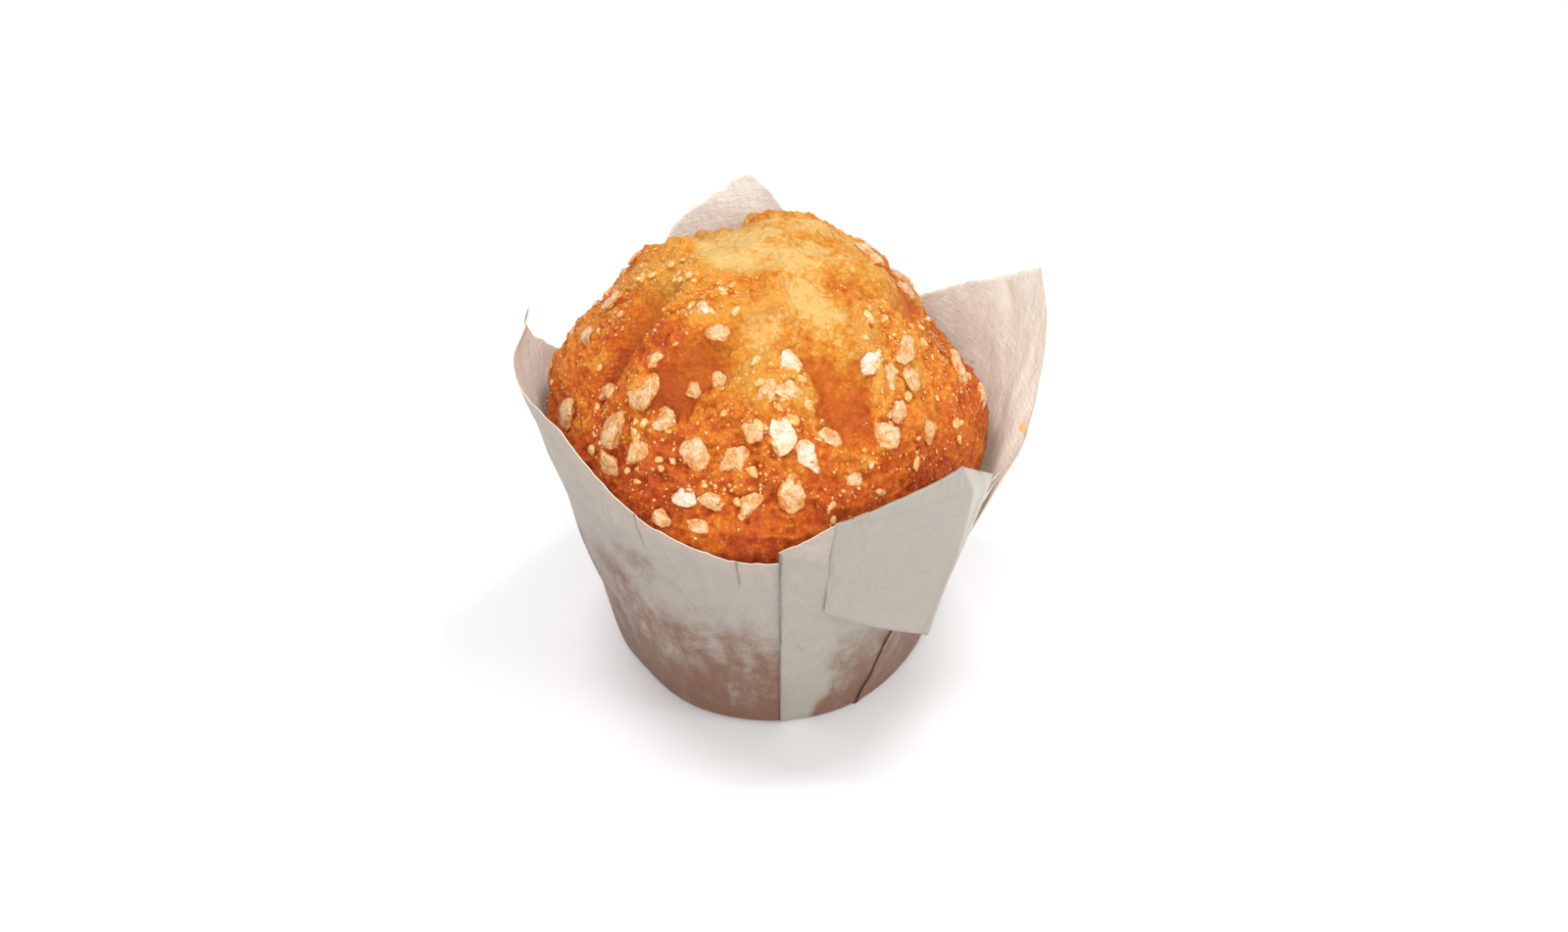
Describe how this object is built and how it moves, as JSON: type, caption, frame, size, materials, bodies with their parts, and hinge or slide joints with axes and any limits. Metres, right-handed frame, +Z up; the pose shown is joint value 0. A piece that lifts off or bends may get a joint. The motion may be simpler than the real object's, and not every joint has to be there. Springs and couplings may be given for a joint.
{
  "type": "sugar-topped muffin in a tulip paper case",
  "caption": "Domed muffin topped with pearl sugar, standing in a folded tulip case of baking paper whose front petal is turned down.",
  "frame": {"origin": "centre of the paper case's flat base, on the surface it stands on", "axes": "+Z up along the case's axis; -Y towards the side whose petal is folded down"},
  "size_m": [0.0965, 0.0918, 0.0849],
  "materials": {
    "crust": "baked crust, golden crown and brown shoulder, slightly greasy and crumbly",
    "baking_paper": "greaseproof baking paper, matt with a slight wax sheen, stained brown by fat where the cake touches it",
    "pearl_sugar": "pearl sugar, translucent cream grains glazed by the oven"
  },
  "bodies": {
    "root": {"muffin": "crust", "paper_case": "baking_paper", "sugar_nib_01": "pearl_sugar", "sugar_nib_02": "pearl_sugar", "sugar_nib_03": "pearl_sugar", "sugar_nib_04": "pearl_sugar", "sugar_nib_05": "pearl_sugar", "sugar_nib_06": "pearl_sugar", "sugar_nib_07": "pearl_sugar", "sugar_nib_08": "pearl_sugar", "sugar_nib_09": "pearl_sugar", "sugar_nib_10": "pearl_sugar", "sugar_nib_11": "pearl_sugar", "sugar_nib_12": "pearl_sugar", "sugar_nib_13": "pearl_sugar", "sugar_nib_14": "pearl_sugar", "sugar_nib_15": "pearl_sugar", "sugar_nib_16": "pearl_sugar", "sugar_nib_17": "pearl_sugar", "sugar_nib_18": "pearl_sugar", "sugar_nib_19": "pearl_sugar", "sugar_nib_20": "pearl_sugar", "sugar_nib_21": "pearl_sugar", "sugar_nib_22": "pearl_sugar", "sugar_nib_23": "pearl_sugar", "sugar_nib_24": "pearl_sugar", "sugar_nib_25": "pearl_sugar", "sugar_nib_26": "pearl_sugar", "sugar_nib_27": "pearl_sugar", "sugar_nib_28": "pearl_sugar", "sugar_nib_29": "pearl_sugar", "sugar_nib_30": "pearl_sugar", "sugar_nib_31": "pearl_sugar", "sugar_nib_32": "pearl_sugar", "sugar_nib_33": "pearl_sugar", "sugar_nib_34": "pearl_sugar", "sugar_nib_35": "pearl_sugar", "sugar_nib_36": "pearl_sugar", "sugar_nib_37": "pearl_sugar", "sugar_nib_38": "pearl_sugar", "sugar_nib_39": "pearl_sugar", "sugar_nib_40": "pearl_sugar", "sugar_nib_41": "pearl_sugar", "sugar_nib_42": "pearl_sugar", "sugar_nib_43": "pearl_sugar", "sugar_nib_44": "pearl_sugar", "sugar_nib_45": "pearl_sugar", "sugar_nib_46": "pearl_sugar", "sugar_nib_47": "pearl_sugar", "sugar_nib_48": "pearl_sugar", "sugar_nib_49": "pearl_sugar", "sugar_nib_50": "pearl_sugar", "sugar_nib_51": "pearl_sugar", "sugar_nib_52": "pearl_sugar", "sugar_nib_53": "pearl_sugar", "sugar_nib_54": "pearl_sugar", "sugar_nib_55": "pearl_sugar", "sugar_nib_56": "pearl_sugar", "sugar_nib_57": "pearl_sugar", "sugar_nib_58": "pearl_sugar"}
  },
  "joints": []
}
